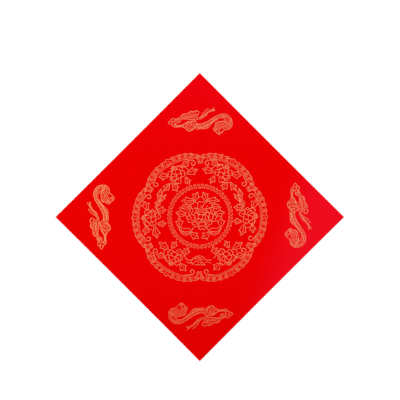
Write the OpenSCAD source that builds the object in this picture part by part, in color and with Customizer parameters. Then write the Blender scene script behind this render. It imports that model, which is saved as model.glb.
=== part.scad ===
// Square sheet of red festival paper, printed in gold line work with a round
// peony medallion and four corner dragons. It stands on one corner:
// x runs across, z runs up, and the printed face looks along -y.
// The origin is the centre of the back face. Lengths are in millimetres.
// The drawing is set out for a 342 mm sheet and scales with the sheet.

/* [Sheet] */
// Length of each side of the square sheet
sheet_side = 340; // [200:5:700]
// Thickness of the dyed face paper
face_thick = 0.15; // [0.08:0.01:0.4]
// Thickness of the backing paper
backing_thick = 0.2; // [0.08:0.01:0.5]

/* [Ink] */
// Thickness of the gold ink film
ink_thick = 0.05; // [0.02:0.01:0.1]
// Width of the lines of the flower sprays and the stems between them
pen = 0.58; // [0.5:0.02:2]
// Width of the lines of the flower in the middle and its leaves
flower_pen = 0.55; // [0.4:0.05:1.5]
// Width of the border's scrolls
scroll_pen = 0.55; // [0.4:0.05:1.5]
// Width of the fine filling lines
fine_pen = 0.45; // [0.4:0.05:1.5]
// Width of the border's edge
border_pen = 0.65; // [0.5:0.05:2]
// Width of the lines along the border's inner edge
ribbon_pen = 0.32; // [0.3:0.02:0.8]
// Width of the volutes
volute_pen = 0.85; // [0.5:0.05:2]
// Width of the dragons' outlines
bold_pen = 0.85; // [0.5:0.05:2]
// Width of the dragons' other lines
dragon_pen = 0.7; // [0.5:0.05:2]
// Width of the dragons' filling lines
dragon_fine_pen = 0.5; // [0.4:0.05:1.5]
// Spread of the ink past each drawn line
ink_spread = 0.03; // [0.01:0.01:0.1]

/* [Border] */
// Radius of the border's edge over most of a lobe
lobe_r = 110.4; // [100:0.1:120]
// Radius of the border's edge at the notch between two lobes
notch_r = 102.2; // [95:0.1:115]
// Cloud bumps along each lobe
lobe_bumps = 11; // [7:2:15]
// Height of a cloud bump
bump_h = 1.9; // [0.5:0.1:4]
// Radius of the band's inner edge
band_inner_r = 101; // [90:0.1:105]
// Lines along the band's inner edge
ribbon_lines = 3; // [1:1:3]
// Distance between those lines
ribbon_step = 1.7; // [1.2:0.1:1.8]
// Radius of the volute centres from the middle
volute_at = 91.5; // [85:0.5:100]

/* [Ring] */
// Radius of the middle of the scroll ring
ring_r = 51; // [45:0.1:60]
// How far the ring sits above the middle of the border
ring_rise = 1.9; // [0:0.1:3]
// How far the ring sits to the right of the middle of the border
ring_aside = 0.6; // [-2:0.1:2]
// Scrolls in each half of the ring
ring_half_count = 26; // [16:1:32]

/* [Centre flower] */
// Outer petals of the flower in the middle
petal_count = 10; // [9:1:16]

/* [Motifs] */
// How far the medallion sits below the middle of the sheet
medallion_drop = 0.7; // [0:0.1:5]
// Share by which the medallion is drawn out along a slant, and drawn in across it
stretch = 0.01; // [0:0.005:0.03]
// Angle of that slant
stretch_turn = 25; // [0:5:90]
// Distance of the flower sprays from the middle
spray_at = 80; // [70:0.5:90]
// Distance of the leafy stems from the middle
stem_at = 73; // [65:0.5:85]
// Distance of the dragons from the middle
dragon_at = 161.4; // [150:0.1:175]

/* [Hidden] */
drawn_side = 342;
art = sheet_side / drawn_side;
lobes = 6;
lobe_half = 180 / lobes;

// ---- points and curves ----

function polar(r, a) = [r * cos(a), r * sin(a)];
function turned(p, a) = [p.x * cos(a) - p.y * sin(a), p.x * sin(a) + p.y * cos(a)];
function moved(pts, a, at) = [for (p = pts) turned(p, a) + at];
function reversed(a) = [for (i = [len(a) - 1:-1:0]) a[i]];
function down(pts) = [for (p = pts) [p.x, -p.y]];
function unit(v) = v / norm(v);
function direction(p, i) = unit(p[min(i + 1, len(p) - 1)] - p[max(i - 1, 0)]);
function beside(p, w) = [for (i = [0:len(p) - 1]) let (d = direction(p, i)) p[i] + w / 2 * [-d.y, d.x]];

// A smooth curve through the given points, with n steps between neighbours.
function blend(a, b, c, d, t) =
  0.5 * (2 * b + (c - a) * t + (2 * a - 5 * b + 4 * c - d) * t * t
         + (3 * b - a - 3 * c + d) * t * t * t);
function curve(p, n = 2) = [
  for (i = [0:len(p) - 2], k = [0:n - 1])
    blend(p[max(i - 1, 0)], p[i], p[i + 1], p[min(i + 2, len(p) - 1)], k / n),
  p[len(p) - 1]
];
function loop(p, n = 2) = [
  for (i = [0:len(p) - 1], k = [0:n - 1])
    let (m = len(p)) blend(p[(i + m - 1) % m], p[i], p[(i + 1) % m], p[(i + 2) % m], k / n)
];

// Part of a circle, and a spiral that winds in from r0 to r1.
function arc(r, a0, a1, n = 6) = [for (i = [0:n]) polar(r, a0 + (a1 - a0) * i / n)];
function spiral(r0, r1, a0, turns, n = 9) =
  [for (i = [0:n]) polar(r0 + (r1 - r0) * i / n, a0 + 360 * turns * i / n)];

// ---- pens ----

module line(p, w = pen) polygon(concat(beside(p, w), reversed(beside(p, -w))));
module outline(p, w = pen) difference() {
  offset(delta = w / 2) polygon(p);
  offset(delta = -w / 2) polygon(p);
}
module stroke(p, w = pen, n = 2) line(curve(p, n), w);
module curl(at, r0, r1, a0, turns, n = 8, w = fine_pen)
  line(moved(spiral(r0, r1, a0, turns, n), 0, at), w);

// Flat line work becomes a film of ink on the front of the face paper.
module ink() color([0.89, 0.70, 0.42])
  translate([0, -(backing_thick + face_thick), 0]) rotate([90, 0, 0])
    linear_extrude(ink_thick) offset(delta = ink_spread) scale(art) children();
module medallion_ink() ink() translate([0, -medallion_drop])
  rotate(stretch_turn) scale([1 + stretch, 1 - stretch]) rotate(-stretch_turn) children();

module paper(thick, front) translate([0, -front, 0]) rotate([0, 45, 0])
  translate([-sheet_side / 2, 0, -sheet_side / 2]) cube([sheet_side, thick, sheet_side]);

// ---- round border ----

module around(n = lobes) for (i = [0:n - 1]) rotate(360 * i / n) children();
module both_sides() {
  children();
  mirror([0, 1]) children();
}

// A lobe seen along +x: nearly round, falling away to a notch at each end.
// Its cloud bumps rise from that line, the middle one to a point.
bump_turn = 2 * lobe_half / lobe_bumps;
function lobe_line(a) = lobe_r - (lobe_r - notch_r) * pow(abs(a) / lobe_half, 3.4);
function bump_rise(t, pointed) = pointed ? 1.6 * bump_h * (1 - abs(2 * t - 1)) : bump_h * sin(180 * t);
function lobe_edge(n = 4) = [
  for (k = [0:lobe_bumps - 1], s = [0:n - 1])
    let (t = s / n, a = -lobe_half + (k + t) * bump_turn)
      polar(lobe_line(a) + bump_rise(t, k == (lobe_bumps - 1) / 2), a),
  polar(notch_r, lobe_half)
];

// A scroll under each bump, curling away from the middle of the lobe.
module lobe_scrolls() both_sides() {
  for (k = [1:(lobe_bumps - 1) / 2]) let (a = k * bump_turn, r = lobe_line(a) - 2.9)
    line(moved(spiral(3.5, 0.6, 100, -1.7, 9), a, polar(r, a)), scroll_pen);
  line([[lobe_r - 6.5, 1], [lobe_r - 5, 3.4], [lobe_r - 2.4, 3], [lobe_r - 1, 0.6]], fine_pen);
}

// At each notch the band widens inward into a knot of small scrolls.
module notch_scrolls() rotate(lobe_half) both_sides() {
  curl([97.6, 3.4], 2.3, 0.9, 200, 1.1, 6);
  curl([93, 2.5], 2.6, 1, 60, -1.1, 7, border_pen);
  curl([102, 6.8], 2.1, 0.9, 0, 1.0, 5);
  for (k = [0:1]) curl([100.1 - 0.4 * k, 11.6 + 4.8 * k], 2, 0.9, 90, 1.0, 5);
}

// The band's inner edge ends at each notch in a hook that curls back on itself.
module volute() rotate(lobe_half) both_sides()
  line(concat([[97.8, 25], [97.2, 19.5]],
              moved(spiral(5, 1.9, 15, -0.95, 10), 0, [volute_at, 12.3])), volute_pen);

module border_outer_edge() medallion_ink() around() line(lobe_edge(), border_pen);
module border_scrollwork() medallion_ink() around() {
  lobe_scrolls();
  notch_scrolls();
}
module border_inner_edge() medallion_ink() around()
  for (k = [0:ribbon_lines - 1])
    line(arc(band_inner_r + 0.4 + ribbon_step * k, -19.5, 19.5, 12), ribbon_pen);
module border_volutes() medallion_ink() around() volute();

// ---- inner ring ----

// One scroll of the ring, like an S across its width.
ring_step = 180 / ring_half_count;
scroll = [[1.5, -0.3], [0.9, 1], [2.2, 2], [3.6, 0.8], [3.4, -1.3], [1.4, -2.4],
          [-0.9, -1.2], [-3, -0.4], [-3.5, 1.6], [-2.2, 3], [-0.9, 2.1], [-1.6, 1]];
module ring_half() for (i = [0:ring_half_count - 1])
  rotate(90 - (i + 0.5) * ring_step) translate([ring_r, 0]) line(scroll, fine_pen);
module ring_scrolls() medallion_ink() translate([ring_aside, ring_rise]) {
  ring_half();
  mirror([1, 0]) ring_half();
}

// ---- leaves ----

// A leaf with three points, from its foot at the origin to its tip at (long, 0).
function leaf_side(long, wide) = [
  [0, 0.04 * wide], [0.16 * long, 0.24 * wide], [0.36 * long, 0.32 * wide],
  [0.64 * long, 0.52 * wide], [0.63 * long, 0.26 * wide], [0.82 * long, 0.17 * wide]
];
module leaf(at, a, long = 14, wide = 12, w = pen) translate(at) rotate(a) {
  outline(concat(leaf_side(long, wide), [[long, 0]], reversed(down(leaf_side(long, wide)))), w);
  line([[0.1 * long, 0], [0.5 * long, 0.05 * wide], [0.8 * long, 0]], fine_pen);
}

// A long curled leaf along a bent spine, with toothed edges on both sides.
function tooth(t, teeth) = 1 - (teeth * t - floor(teeth * t));
function frond_side(p, wide, teeth) = [
  for (i = [0:len(p) - 1])
    let (t = i / (len(p) - 1), d = direction(p, i))
      p[i] + wide * sin(180 * pow(t, 0.75)) * (0.5 + 0.5 * tooth(t, teeth)) * [-d.y, d.x]
];
module frond(spine, wide, teeth) {
  p = curve(spine, 4);
  outline(concat(frond_side(p, wide, teeth), reversed(frond_side(p, -wide, teeth))), flower_pen);
  line([for (i = [0:2:len(p) - 3]) p[i]], fine_pen);
}

// ---- flowers ----

// A petal is egg-shaped with a wavy rim: [foot, angle, long, wide, wave].
// Only the longer petals have a vein.
function petal_side(long, wide, wave) = [
  [0.03 * long, 0.14 * wide], [0.38 * long, 0.46 * wide], [0.76 * long, 0.48 * wide],
  [(0.96 + wave) * long, 0.24 * wide]
];
function petal(f) = let (half = petal_side(f[2], f[3], f[4]))
  loop(moved(concat(half, [[(1 - 2 * f[4]) * f[2], 0]], reversed(down(half))), f[1], f[0]), 2);
vein_from = 13;
module vein(f) if (f[2] > vein_from)
  line([f[0] + polar(0.4 * f[2], f[1] - 4), f[0] + polar(0.72 * f[2], f[1] + 5)], fine_pen);

// Petals are listed front first, and each hides what lies behind it.
module bloom(petals, w = pen) for (i = [0:len(petals) - 1]) difference() {
  union() {
    outline(petal(petals[i]), w);
    vein(petals[i]);
  }
  for (j = [0:1:i - 1]) polygon(petal(petals[j]));
}

// A fan of petals round a heart, from one angle to another.
function fan(heart, n, from, to, long, wide) = [
  for (i = [0:n - 1])
    [heart, from + (to - from) * i / (n - 1), long * (1 + 0.14 * (i % 2)), wide, 0.05]
];
middle = [0, 0];
small_petals = concat(
  [[middle, 97, 7.5, 9.5, -0.04]], fan(middle, 4, 195, 345, 9.5, 8.5),
  fan(middle, petal_count - 4, 135, 405, 13.8, 9.8)
);

// One spray of the lower left, upright, with its flower at the origin.
module spray_drawing() {
  bloom(small_petals);
  leaf([-11, 12], 141, 19.5, 12.5);
  leaf([-4.5, 14.5], 60, 13.5, 10);
  leaf([16, 3], 62, 14.5, 11);
  leaf([9, -12], 312, 15.5, 12.5);
  leaf([-15.5, -0.5], 163, 15.5, 10.5);
  leaf([-4.5, -8.5], 240, 7.5, 7.5);
  stroke([[-17, 13], [-18, 8], [-19, 3], [-16, -4], [-12, -9]]);
  stroke([[10, 9], [15, 5], [18, -1], [21, -4]]);
}
module spray(tilt) translate([spray_at, -1.4]) rotate(119 + tilt) spray_drawing();

// The big flower, front petals first: a small fan low down, domes one behind
// another over the heart, then wider and wider fans round them.
heart = [3.4, 4.6];
domes = [for (i = [0:2]) [heart - [0, 1], 94, 5.4 + 3.2 * i, 9.5 + 4.5 * i, -0.05]];
big_petals = concat(
  fan(heart, 2, 240, 296, 8, 8), domes, fan(heart, 5, 192, 348, 12.5, 11.5),
  fan(heart, 7, 158, 382, 17.5, 12.5), fan(heart, petal_count, 20, 380 - 360 / petal_count, 22.5, 13.5)
);
module centre_peony() medallion_ink() bloom(big_petals, flower_pen);

module centre_leaf_half() {
  leaf([-11, 28], 66, 16, 12, flower_pen);
  leaf([-12, 29.5], 184, 19.5, 11, flower_pen);
  leaf([-17.5, 20.5], 194, 17.5, 8.5, flower_pen);
  leaf([-25, 5], 168, 16, 13, flower_pen);
  leaf([-34.5, -16.5], 92, 16, 12.5, flower_pen);
  frond([[-15, -23.5], [-22, -27], [-29, -25.6], [-35.5, -18.5]], 3.4, 3);
  leaf([-16.5, -26], 326, 17, 12.5, flower_pen);
  stroke([[-14, -21], [-20, -18.6], [-28, -18.4], [-34.5, -16.5]], flower_pen);
  stroke([[-26, 6], [-22, 1], [-17, 0]], flower_pen);
  stroke([[-25, 7], [-23, 11], [-19, 16], [-12, 24], [-9, 28]], flower_pen);
  stroke([[-16, -24.5], [-12.5, -20], [-10, -15]], flower_pen);
}
module centre_leaves() medallion_ink() difference() {
  translate([0.8, 0]) {
    centre_leaf_half();
    mirror([1, 0]) centre_leaf_half();
  }
  offset(delta = flower_pen) for (f = big_petals) polygon(petal(f));
}

// ---- leafy stems between two sprays ----

// The bottom one, upright: a big folded leaf on a forked stalk.
module stem_drawing() {
  stroke([[-15, -3], [-12, 2.5], [-5, 7.4], [3, 7.8], [8.5, 4]]);
  stroke([[-13, 1], [-7, 3.6], [0, 1.6], [5, -3], [9.5, -7.5]]);
  stroke([[-14, -3], [-7, -6.8], [1, -7], [9.5, -7.5]]);
  stroke([[-3, 7], [0, 4.6], [4, 2], [9, 1.5]], fine_pen);
  stroke([[-9, 3.4], [-3, 5.4], [3, 4.8]], fine_pen);
  stroke([[-9, -2.6], [-4.6, -0.4], [-1, -2.4], [-2.4, -4.6]]);
  stroke([[3.5, -2], [1.5, -4.6], [4, -5.8]], fine_pen, 1);
  stroke([[-23, 3.5], [-18, 0.6], [-12, 1.6]]);
  stroke([[-22, -2], [-17, -4], [-13, -3.4], [-11.5, -7]]);
  stroke([[8.5, 4], [12, 0.5], [17, 1.5], [21, 0]]);
  stroke([[9, -3], [14, -2.4], [19, -4.5]], fine_pen);
}

// The upper ones: leaves in a row along a bent stalk.
module chain_drawing() {
  stroke([[-27, -4.5], [-18, -3.5], [-8, -1.2], [1, -2.4], [10, -3.6], [20, -5.5], [24, -8.5]], fine_pen);
  leaf([-23.5, -3.4], 6, 14.5, 11);
  leaf([-9.5, 3.6], 350, 17.5, 7.5);
  leaf([11, -4.8], 190, 17, 6.5);
  leaf([6.5, -2.5], 352, 14.5, 9);
}
module leaf_stem() translate([stem_at, 0]) rotate(90) stem_drawing();
module leaf_chain() translate([stem_at + 3.5, 0]) rotate(270) chain_drawing();

// Each spray sits a little off the even spacing, by its own shift and tilt.
module turned_spray(a, shift, tilt = 0) translate(shift) rotate(a) spray(tilt);
module mirrored_spray(a, shift, tilt = 0) translate(shift) rotate(a) mirror([0, 1]) spray(tilt);

module peony_right() medallion_ink() turned_spray(0, [0.7, 3.8], -5);
module peony_upper_left() medallion_ink() turned_spray(120, [0.2, 2.1], -2);
module peony_lower_left() medallion_ink() turned_spray(240, [-0.3, 2.4]);
module peony_upper_right() medallion_ink() mirrored_spray(60, [-0.4, 3.9], -2);
module peony_left() medallion_ink() mirrored_spray(180, [-0.7, 1.3], -2);
module peony_lower_right() medallion_ink() mirrored_spray(300, [3, 2.5], 3);
module leaf_stem_upper_right() medallion_ink() rotate(30) leaf_chain();
module leaf_stem_upper_left() medallion_ink() rotate(150) mirror([0, 1]) leaf_chain();
module leaf_stem_bottom() medallion_ink() rotate(270) leaf_stem();

// ---- dragons ----

// The dragon swims to the left: nose, open mouth, eye and crest, an ear with a
// flame behind it, a scaled neck that bends over, and a cloud under the bend.
cheek = loop([
  [-29, -7], [-23, -13.5], [-18.5, -17.3], [-12, -15], [-7, -9.5],
  [-5, -5], [-8, -1.2], [-16, -1], [-22, -4]
]);
cloud = loop([
  [27, -3.5], [25.5, -9], [22.8, -14], [27, -18], [32.2, -23], [37, -19.5],
  [41.5, -15], [48.5, -14], [53, -8.5], [48, -4.5], [43, -0.8], [35, -0.8]
]);
neck = curve([
  [-5, -7.6], [1, -7.8], [8, -6], [15, -2.6], [22, 2], [30, 7],
  [38, 9.8], [45, 8.6], [50.5, 3.6], [52.4, -3], [52, -9]
], 3);
// The neck is thinner past the point where it bends over.
neck_bend = 12;
function neck_half(i) = i < neck_bend ? 2.4 : 1.9;
function neck_edge(s) = [
  for (i = [0:len(neck) - 1])
    let (d = direction(neck, i)) neck[i] + s * neck_half(i) * [-d.y, d.x]
];

module dragon_head() {
  outline(loop([[-53, -3], [-50, -0.2], [-46.6, -2.2], [-48.5, -6]]), dragon_pen);
  outline(loop([[-48.5, 1.5], [-45, 4], [-41, 2.5], [-43.5, -1.2]]), dragon_pen);
  stroke([[-46.8, -5.5], [-44.5, -9], [-40, -10.6], [-35, -9.6], [-30, -10], [-27, -11]], bold_pen);
  stroke([[-41.5, -6], [-38.5, -7.6], [-34, -7.8], [-29, -6.8], [-22.5, -2.6], [-18, -0.4]], bold_pen);
  stroke([[-44, -6], [-41.5, -8.4], [-37, -9.2], [-32, -8.6], [-27, -8.5]], dragon_fine_pen);
  stroke([[-43, -2], [-41, -5], [-43, -6.5]], dragon_fine_pen);
  stroke([[-27.5, -6.9], [-24, -4.8], [-19.5, -2]], dragon_fine_pen);
  stroke([[-41, 1.6], [-37, 4.4], [-32.4, 6], [-30.5, 9.4], [-27, 11.6], [-23, 11.6]], bold_pen);
  stroke([[-39.5, 0.2], [-35.5, 2.8], [-32, 2.6], [-33, -1.2], [-35.4, -3], [-39, -2.2], [-40.5, -4.6]],
         bold_pen);
  stroke([[-41.5, 0.4], [-37.5, 1], [-35, 1], [-35, -1.4], [-38, -1]], dragon_fine_pen);
  stroke([[-32, 3.4], [-24, 3.6], [-15, 2.4], [-7, 1]], bold_pen);
  outline(loop([[-28, 5.4], [-28.4, 9], [-25.4, 10.2], [-24.4, 5.4]]), dragon_pen);
  stroke([[-22.5, 10], [-22, 6.8], [-18.5, 8.2], [-13, 8.4], [-9.5, 9.8]], dragon_pen);
  stroke([[-31, 5.2], [-23.5, 5.2], [-17.5, 5.6], [-12, 5]], dragon_fine_pen);
  stroke([[-20, 6.9], [-15, 7], [-12, 6.6]], dragon_fine_pen);
}

module dragon_crest() {
  stroke([[-23, 11.6], [-18, 13.8], [-14.5, 16.4], [-11.6, 15.2], [-8, 16], [-5, 17],
          [-1.4, 14.4], [-3.6, 9.4]], bold_pen);
  stroke([[-20.5, 10], [-15.5, 11.4], [-11, 11], [-7.6, 12.2], [-6.6, 14.4]], dragon_fine_pen);
  stroke([[-19, 12.2], [-14, 13.8], [-9.5, 13.6]], dragon_fine_pen);
  stroke([[-9.5, 9.8], [-6, 11], [-3.6, 9.4]], dragon_fine_pen);
  curl([-7.4, 4.4], 4.8, 1.2, 160, -1.5, 12, dragon_pen);
}

module dragon_flame() {
  stroke([[-3, 3.2], [-0.5, 5.5], [3, 8.4], [6, 13], [9.4, 17.2], [14.6, 20.4]], dragon_pen);
  stroke([[-2.5, 1.6], [1, 3.6], [6, 5.6], [10, 9], [14, 13.6], [19, 16.4], [26, 17.4]], dragon_pen);
  stroke([[1, 5.4], [6.5, 9], [11, 13.6], [16, 17], [20.5, 19.4], [24.5, 22.4]], dragon_pen);
  stroke([[4, 6], [8.5, 9.4], [12, 13]], dragon_fine_pen);
  stroke([[25.5, 17.8], [22, 19], [19, 18]], dragon_pen);
}

module dragon_neck() difference() {
  union() {
    line(neck_edge(1), bold_pen);
    line(neck_edge(-1), dragon_pen);
    for (i = [1:len(neck) - 2]) let (d = direction(neck, i), h = neck_half(i) * [-d.y, d.x])
      line([neck[i] + h - 0.9 * d, neck[i] + 0.7 * d, neck[i] - h - 0.9 * d], dragon_fine_pen);
    stroke([[-6, -11.6], [0, -11], [6, -11.2], [10.4, -9.2], [16, -5.4], [24, -0.6], [31, 3.6]],
           dragon_pen);
    stroke([[-6, -13.8], [2, -13], [8, -13], [12.8, -11.6], [16.6, -8.2], [20, -4], [26, 0.6]], dragon_pen);
    for (k = [0:4]) line([[-2 + 3.4 * k, -13], [0.4 + 3.4 * k, -10.6 + 0.6 * k]], dragon_fine_pen);
    stroke([[29, 4.6], [34, 6.8], [39.5, 6.6], [44, 3.2], [47.6, -2], [50.6, -6]], dragon_fine_pen);
    stroke([[32, 4.4], [36, 5], [40, 4], [44.4, -0.6]], dragon_fine_pen);
  }
  polygon(cheek);
  polygon(cloud);
}

module dragon_cheek() {
  outline(cheek, bold_pen);
  for (k = [0:6]) let (a = 24 + 360 / 7 * k)
    curl([-15.6, -8.6] + 5 * [cos(a) * 1.3, sin(a)], 2.6, 0.8, a, 1.05, 6, dragon_pen);
  curl([-15.6, -8.6], 2.6, 0.8, 0, 1.2, 6, dragon_pen);
}

module dragon_cloud() {
  outline(cloud, bold_pen);
  intersection() {
    polygon(cloud);
    for (k = [0:4]) line(moved(arc(3.4 + 2.7 * k, 20 - 4 * k, 190, 7), 0, [37, -14.6]), dragon_pen);
  }
  curl([27.2, -13.8], 2.4, 0.8, 0, 1.2, 6, dragon_pen);
  curl([32.4, -18.4], 2.6, 0.8, 200, 1.2, 6, dragon_pen);
}

// Each dragon has its own small shift and tilt, as they don't sit quite evenly.
module dragon(a, shift, tilt) ink() translate(shift) rotate(a) translate([0, dragon_at]) rotate(tilt) {
  dragon_head();
  dragon_crest();
  dragon_flame();
  dragon_neck();
  dragon_cheek();
  dragon_cloud();
}
module dragon_top() dragon(0, [0, 0], 0);
module dragon_right() dragon(270, [3.4, 4], 2);
module dragon_bottom() dragon(180, [2.4, -5], 1.5);
module dragon_left() dragon(90, [-5.6, -0.8], -1);

// ---- paper ----

module backing_paper() color([0.93, 0.72, 0.68]) paper(backing_thick, backing_thick);
module face_paper() color([0.85, 0.05, 0.04]) paper(face_thick, backing_thick + face_thick);

backing_paper();
face_paper();
border_outer_edge();
border_scrollwork();
border_inner_edge();
border_volutes();
ring_scrolls();
centre_peony();
centre_leaves();
peony_right();
peony_upper_right();
peony_upper_left();
peony_left();
peony_lower_left();
peony_lower_right();
leaf_stem_upper_right();
leaf_stem_upper_left();
leaf_stem_bottom();
dragon_top();
dragon_right();
dragon_bottom();
dragon_left();
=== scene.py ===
"""The looks of the festival paper square: two plies of paper and a gold print.

The sheet hangs in the plane y = 0 with its printed face towards -y, as the frame says.
Real paper never lies quite flat, so one function, lift(), says how far the sheet stands
off the wall at each place, and the plies and the print all follow it.
"""
import math

import bmesh
import bpy
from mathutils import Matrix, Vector, noise


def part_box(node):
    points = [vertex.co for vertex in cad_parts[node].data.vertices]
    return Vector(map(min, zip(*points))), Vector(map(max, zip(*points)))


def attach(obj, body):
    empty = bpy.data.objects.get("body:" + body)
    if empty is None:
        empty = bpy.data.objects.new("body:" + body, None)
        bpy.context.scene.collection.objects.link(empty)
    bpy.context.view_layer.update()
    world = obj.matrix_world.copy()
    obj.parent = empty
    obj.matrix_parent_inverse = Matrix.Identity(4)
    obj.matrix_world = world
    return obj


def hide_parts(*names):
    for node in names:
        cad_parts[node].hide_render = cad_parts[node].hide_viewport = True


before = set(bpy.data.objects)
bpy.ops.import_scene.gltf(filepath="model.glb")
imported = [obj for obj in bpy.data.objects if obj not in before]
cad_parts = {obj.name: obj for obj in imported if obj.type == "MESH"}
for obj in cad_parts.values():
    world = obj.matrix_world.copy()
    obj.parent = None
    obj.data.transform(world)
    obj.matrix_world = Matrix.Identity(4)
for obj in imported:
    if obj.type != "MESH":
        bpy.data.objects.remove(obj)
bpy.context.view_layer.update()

# ---- sizes, from the frame ----

FACE_LOW, FACE_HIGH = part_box("face_paper")
BACKING_LOW, BACKING_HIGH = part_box("backing_paper")
HALF_DIAGONAL = FACE_HIGH.x
PLIES = {
    "face_paper": (FACE_LOW.y, FACE_HIGH.y),
    "backing_paper": (BACKING_LOW.y, BACKING_HIGH.y),
}
PRINT = [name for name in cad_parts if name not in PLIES]

MM = 0.001
# Cells along each side of a ply.
CELLS = 110

# How far each corner curls off the wall, and where along the diagonal it begins.
CURLS = [
    (Vector((0, 1)), 3.0 * MM, 0.50),
    (Vector((1, 0)), 6.5 * MM, 0.48),
    (Vector((0, -1)), 4.5 * MM, 0.50),
    (Vector((-1, 0)), 5.5 * MM, 0.45),
]
# The sheet also cockles a little all over, in swells of about this size.
COCKLE = 0.25 * MM
COCKLE_SIZE = 110 * MM
COCKLE_SLICE = 0.37

# The print stands this far proud of the paper, and points closer than this are one.
PRINT_PROUD = 0.01 * MM
SAME_POINT = 0.001 * MM


def lift(x, z):
    """How far the paper stands off the wall at a place on the sheet."""
    place = Vector((x, z)) / HALF_DIAGONAL
    total = 0.0
    for corner, height, start in CURLS:
        along = max(0.0, place.dot(corner) - start) / (1 - start)
        total += height * along**2
    ripple = noise.noise(Vector((x, z, COCKLE_SLICE)) / COCKLE_SIZE)
    return total + COCKLE * (1 + ripple)


def lifted(point, proud=0.0):
    """A point of the flat sheet, moved to where the curled sheet has it."""
    return Vector((point.x, point.y - lift(point.x, point.z) - proud, point.z))


# ---- materials ----

# The painted cool sheen on the red grows in this direction, in degrees from level: right and a
# little down.
SHEEN_TURN = -20


def material(name):
    """A new material with its node tree, its shader and the place on the object."""
    made = bpy.data.materials.new(name)
    made.use_nodes = True
    tree = made.node_tree
    shader = tree.nodes["Principled BSDF"]
    place = tree.nodes.new("ShaderNodeTexCoord").outputs["Object"]
    return made, tree, shader, place


def stretched(tree, place, scale):
    """The place, stretched along the axes, for grain that runs one way."""
    mapping = tree.nodes.new("ShaderNodeMapping")
    mapping.inputs["Scale"].default_value = scale
    tree.links.new(place, mapping.inputs["Vector"])
    return mapping.outputs["Vector"]


def turned(tree, place, angle):
    """The place, turned in the plane of the sheet by an angle in degrees."""
    mapping = tree.nodes.new("ShaderNodeMapping")
    mapping.inputs["Rotation"].default_value = (0, math.radians(angle), 0)
    tree.links.new(place, mapping.inputs["Vector"])
    return mapping.outputs["Vector"]


def noise_at(tree, place, size, detail=3.0, roughness=0.55):
    """Noise whose patches are about size metres across."""
    texture = tree.nodes.new("ShaderNodeTexNoise")
    texture.inputs["Scale"].default_value = 1 / size
    texture.inputs["Detail"].default_value = detail
    texture.inputs["Roughness"].default_value = roughness
    tree.links.new(place, texture.inputs["Vector"])
    return texture.outputs["Fac"]


def ramp(tree, value, stops):
    """Colours or greys spread over a value: stops are (position, colour)."""
    made = tree.nodes.new("ShaderNodeValToRGB")
    band = made.color_ramp
    for _ in stops[2:]:
        band.elements.new(0.5)
    for element, (position, colour) in zip(band.elements, stops):
        element.position = position
        element.color = (*colour, 1)
    tree.links.new(value, made.inputs["Fac"])
    return made.outputs["Color"]


def grey(level):
    """A grey as a colour."""
    return (level, level, level)


def mixed(tree, kind, factor, a, b):
    """Two colours mixed. Each input is a socket or a constant."""
    mix = tree.nodes.new("ShaderNodeMix")
    mix.data_type = "RGBA"
    mix.blend_type = kind
    for socket, value in zip((mix.inputs[0], mix.inputs[6], mix.inputs[7]), (factor, a, b)):
        if isinstance(value, bpy.types.NodeSocket):
            tree.links.new(value, socket)
        else:
            socket.default_value = value
    return mix.outputs[2]


def bumped(tree, shader, height, distance, strength=1.0, under=None):
    """Relief on the shader. Returns the bump, so that another can lie over it."""
    bump = tree.nodes.new("ShaderNodeBump")
    bump.inputs["Strength"].default_value = strength
    bump.inputs["Distance"].default_value = distance
    tree.links.new(height, bump.inputs["Height"])
    if under:
        tree.links.new(under.outputs["Normal"], bump.inputs["Normal"])
    tree.links.new(bump.outputs["Normal"], shader.inputs["Normal"])
    return bump


def along(tree, place, axis, low, high):
    """0 to 1 as the place goes from low to high along an axis."""
    parts = tree.nodes.new("ShaderNodeSeparateXYZ")
    tree.links.new(place, parts.inputs["Vector"])
    span = tree.nodes.new("ShaderNodeMapRange")
    span.interpolation_type = "SMOOTHSTEP"
    span.inputs["From Min"].default_value = low
    span.inputs["From Max"].default_value = high
    tree.links.new(parts.outputs[axis], span.inputs["Value"])
    return span.outputs["Result"]


def paper_relief(tree, shader, place, depth):
    """Grain and long fibres, as paper has them."""
    grain = bumped(tree, shader, noise_at(tree, place, 1.1 * MM, 5), depth)
    fibres = noise_at(tree, stretched(tree, place, (1, 1, 0.12)), 1.6 * MM, 4)
    bumped(tree, shader, fibres, depth, 0.6, grain)


def red_paper():
    """Dyed face paper: even red, with a painted cool sheen at the lower right and the top, and
    painted shade low down.
    """
    made, tree, shader, place = material("red_dyed_paper")
    patches = noise_at(tree, place, 30 * MM, 4)
    warm = mixed(tree, "MIX", patches, (0.589, 0, 0, 1), (0.602, 0, 0.0002, 1))
    # Painted sheen: the red is tinted cool towards the lower right corner.
    corner_sheen_mask = along(tree, turned(tree, place, SHEEN_TURN), "X", 0.105, 0.185)
    red_with_corner_sheen = mixed(tree, "MIX", corner_sheen_mask, warm, (0.615, 0.0026, 0.009, 1))
    # Painted sheen: the red is tinted cool towards the top.
    top_sheen_mask = along(tree, place, "Z", 0.08, HALF_DIAGONAL)
    red_with_top_sheen = mixed(tree, "MIX", top_sheen_mask, red_with_corner_sheen, (0.603, 0.0002, 0.0026, 1))
    # Painted shade: the red is darkened towards the bottom.
    to_bottom = along(tree, place, "Z", -0.04, -HALF_DIAGONAL)
    red_sheen_and_shade = mixed(tree, "MULTIPLY", to_bottom, red_with_top_sheen, (0.905, 1, 1, 1))
    fine = noise_at(tree, place, 2.2 * MM, 6, 0.7)
    flecks = ramp(tree, fine, [(0.3, grey(0.95)), (0.55, grey(1))])
    tree.links.new(mixed(tree, "MULTIPLY", 1.0, red_sheen_and_shade, flecks), shader.inputs["Base Color"])
    gloss = ramp(tree, noise_at(tree, place, 12 * MM), [(0.3, grey(0.58)), (0.7, grey(0.7))])
    tree.links.new(gloss, shader.inputs["Roughness"])
    shader.inputs["Specular IOR Level"].default_value = 0.002
    paper_relief(tree, shader, place, 0.02 * MM)
    return made


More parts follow.
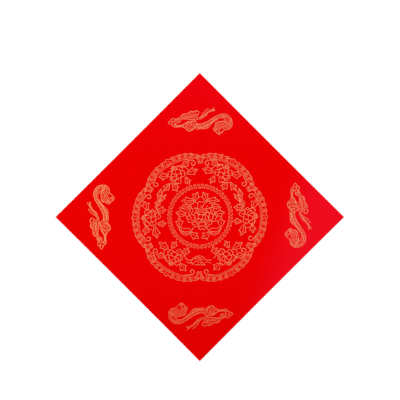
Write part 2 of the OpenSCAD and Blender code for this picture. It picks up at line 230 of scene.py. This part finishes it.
def back_paper():
    """The uncoated back: pale, with the red dye showing through in soft patches."""
    made, tree, shader, place = material("pale_back_paper")
    patches = ramp(
        tree,
        noise_at(tree, place, 40 * MM, 4, 0.5),
        [(0.3, (0.74, 0.40, 0.36)), (0.5, (0.76, 0.43, 0.39)), (0.7, (0.78, 0.46, 0.42))],
    )
    fibres = noise_at(tree, stretched(tree, place, (1, 1, 0.2)), 1.2 * MM, 5, 0.7)
    streaks = ramp(tree, fibres, [(0.3, (0.93, 0.87, 0.87)), (0.6, grey(1))])
    tree.links.new(mixed(tree, "MULTIPLY", 1.0, patches, streaks), shader.inputs["Base Color"])
    gloss = ramp(tree, noise_at(tree, place, 9 * MM), [(0.3, grey(0.8)), (0.7, grey(0.95))])
    tree.links.new(gloss, shader.inputs["Roughness"])
    shader.inputs["Specular IOR Level"].default_value = 0.2
    paper_relief(tree, shader, place, 0.04 * MM)
    return made


def cut_edge():
    """The cut rim, where the dye hasn't reached the paper's core."""
    made, tree, shader, place = material("cut_paper_edge")
    stains = noise_at(tree, place, 1.5 * MM, 6)
    core = ramp(tree, stains, [(0.35, (0.62, 0.02, 0.02)), (0.65, (0.72, 0.25, 0.22))])
    tree.links.new(core, shader.inputs["Base Color"])
    shader.inputs["Roughness"].default_value = 0.9
    shader.inputs["Specular IOR Level"].default_value = 0.1
    bumped(tree, shader, noise_at(tree, place, 0.4 * MM), 0.05 * MM)
    return made


def gold_ink():
    """Satin gold ink: patchy, yellower on the left, and thinnest towards the bottom."""
    made, tree, shader, place = material("satin_gold_ink")
    tone = ramp(
        tree,
        noise_at(tree, place, 14 * MM, 4),
        [(0.3, (0.6, 0.195, 0.095)), (0.5, (0.63, 0.235, 0.115)), (0.7, (0.66, 0.27, 0.137))],
    )
    to_left = along(tree, place, "X", -0.04, -0.2)
    yellow = mixed(tree, "MULTIPLY", to_left, tone, (1.12, 1.42, 1.12, 1))
    cover = noise_at(tree, place, 2.2 * MM, 4, 0.65)
    thin = ramp(tree, cover, [(0.4, grey(0.3)), (0.54, grey(1))])
    printed = mixed(tree, "MIX", thin, (0.64, 0.03, 0.01, 1), yellow)
    to_bottom = along(tree, place, "Z", -0.02, -0.22)
    worn = mixed(tree, "MULTIPLY", to_bottom, printed, (0.94, 0.45, 0.22, 1))
    tree.links.new(worn, shader.inputs["Base Color"])
    shader.inputs["Metallic"].default_value = 0.35
    gloss = ramp(tree, noise_at(tree, place, 3 * MM, 4), [(0.3, grey(0.34)), (0.7, grey(0.52))])
    tree.links.new(gloss, shader.inputs["Roughness"])
    bumped(tree, shader, noise_at(tree, place, 0.5 * MM, 3), 0.01 * MM)
    return made


def white_floor():
    """A plain pale studio floor, very slightly uneven in tone."""
    made, tree, shader, place = material("studio_floor")
    tone = ramp(tree, noise_at(tree, place, 0.6), [(0.3, grey(0.965)), (0.7, grey(0.985))])
    tree.links.new(tone, shader.inputs["Base Color"])
    shader.inputs["Roughness"].default_value = 0.8
    return made


# ---- pieces ----


def add_piece(mesh, name, materials):
    """Puts a mesh in the scene as a piece of the object."""
    for each in materials:
        mesh.materials.append(each)
    made = bpy.data.objects.new(name, mesh)
    bpy.context.scene.collection.objects.link(made)
    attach(made, "root")
    return made


def sheet_place(i, j, y):
    """A point of the flat sheet: i and j count cells along its two sides."""
    u, v = i / CELLS - 0.5, j / CELLS - 0.5
    return Vector(((u - v) * HALF_DIAGONAL, y, (u + v) * HALF_DIAGONAL))


def ply_mesh(name, front, back):
    """One ply as a closed, curled sheet: material 0 in front and behind, 1 on the rim."""
    shape = bmesh.new()
    count = CELLS + 1
    layers = [
        [shape.verts.new(lifted(sheet_place(i, j, y))) for i in range(count) for j in range(count)]
        for y in (front, back)
    ]
    for layer, step in zip(layers, (1, -1)):
        for i in range(CELLS):
            for j in range(CELLS):
                at = i * count + j
                ring = [layer[at], layer[at + 1], layer[at + count + 1], layer[at + count]]
                shape.faces.new(ring[::-step]).smooth = True
    last = CELLS * count
    rims = [
        list(range(count)),
        [CELLS + k * count for k in range(count)],
        [last + CELLS - k for k in range(count)],
        [last - k * count for k in range(count)],
    ]
    for rim in rims:
        for a, b in zip(rim, rim[1:]):
            wall = shape.faces.new([layers[0][a], layers[0][b], layers[1][b], layers[1][a]])
            wall.material_index = 1
            for edge in wall.edges:
                edge.smooth = False
    bmesh.ops.recalc_face_normals(shape, faces=shape.faces)
    mesh = bpy.data.meshes.new(name)
    shape.to_mesh(mesh)
    shape.free()
    return mesh


def add_plies(face, backing, edge):
    """The two plies of paper, each made as a curled sheet."""
    made = {}
    finishes = (("backing_paper", backing, "backing"), ("face_paper", face, "red_face"))
    for node, finish, slot in finishes:
        front, back = PLIES[node]
        piece = add_piece(ply_mesh(f"{node}_sheet", front, back), f"{node}_sheet", [finish, edge])
        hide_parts(node)
        made[node] = piece
    return made


def add_print(gold):
    """The gold line work, lifted with the paper it is printed on."""
    made = []
    for node in PRINT:
        shape = bmesh.new()
        shape.from_mesh(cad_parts[node].data)
        bmesh.ops.remove_doubles(shape, verts=shape.verts, dist=SAME_POINT)
        for point in shape.verts:
            point.co = lifted(point.co, PRINT_PROUD)
        for side in shape.faces:
            side.smooth = False
            side.material_index = 0
        mesh = bpy.data.meshes.new(f"{node}_ink")
        shape.to_mesh(mesh)
        shape.free()
        piece = add_piece(mesh, f"{node}_ink", [gold])
        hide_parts(node)
        made.append(piece)
    return made


# ---- studio ----

WORLD_STRENGTH = 1.05
FLOOR_SIZE = 24
FLOOR_LEVEL = -0.5
# Each light: where it stands, its size, its power and its colour. Both face the sheet.
LIGHTS = {
    "key_light": ((-1.3, -1.9, 1.5), 1.4, 22, (1, 0.98, 0.95)),
    "fill_light": ((1.8, -1.6, 0.6), 1.6, 9, (0.9, 0.94, 1)),
}


def aim(thing, place, target):
    """Puts a light or the camera at a place, looking at a target."""
    thing.location = place
    thing.rotation_euler = (Vector(target) - Vector(place)).to_track_quat("-Z", "Y").to_euler()


def add_light(name, place, size, power, colour):
    """A soft square light that faces the middle of the sheet."""
    lamp = bpy.data.lights.new(name, "AREA")
    lamp.size = size
    lamp.energy = power
    lamp.color = colour
    made = bpy.data.objects.new(name, lamp)
    bpy.context.scene.collection.objects.link(made)
    aim(made, place, (0, 0, 0))


def add_studio():
    """White surroundings, a soft key light and a soft cool fill, over a white floor."""
    world = bpy.data.worlds.new("white_studio")
    world.use_nodes = True
    sky = world.node_tree.nodes["Background"].inputs
    sky["Color"].default_value = (1, 1, 1, 1)
    sky["Strength"].default_value = WORLD_STRENGTH
    bpy.context.scene.world = world
    bpy.context.scene.view_settings.view_transform = "Standard"
    for name, settings in LIGHTS.items():
        add_light(name, *settings)
    bpy.ops.mesh.primitive_plane_add(size=FLOOR_SIZE, location=(0, 0, FLOOR_LEVEL))
    floor = bpy.context.object
    floor.name = "floor"
    floor.data.materials.append(white_floor())


# The camera looks straight at the sheet, from a little above its middle, and stands as far
# off as makes its picture reach HALF_FRAME each way at the sheet.
LENS, SENSOR = 100, 36
CAMERA_ACROSS = 0.4 * MM
CAMERA_UP = 28.4 * MM
HALF_FRAME = 334 * MM
FAR_CLIP = 100


def add_camera():
    """The camera, square on to the sheet and far enough off for the picture's span."""
    camera = bpy.data.objects.new("camera", bpy.data.cameras.new("camera"))
    camera.data.lens = LENS
    camera.data.sensor_width = SENSOR
    camera.data.clip_end = FAR_CLIP
    bpy.context.scene.collection.objects.link(camera)
    distance = HALF_FRAME * 2 * LENS / SENSOR
    place = (CAMERA_ACROSS, FACE_LOW.y - distance, CAMERA_UP)
    aim(camera, place, (CAMERA_ACROSS, 0, CAMERA_UP))
    bpy.context.scene.camera = camera


add_camera()
add_studio()
plies = add_plies(red_paper(), back_paper(), cut_edge())
prints = add_print(gold_ink())
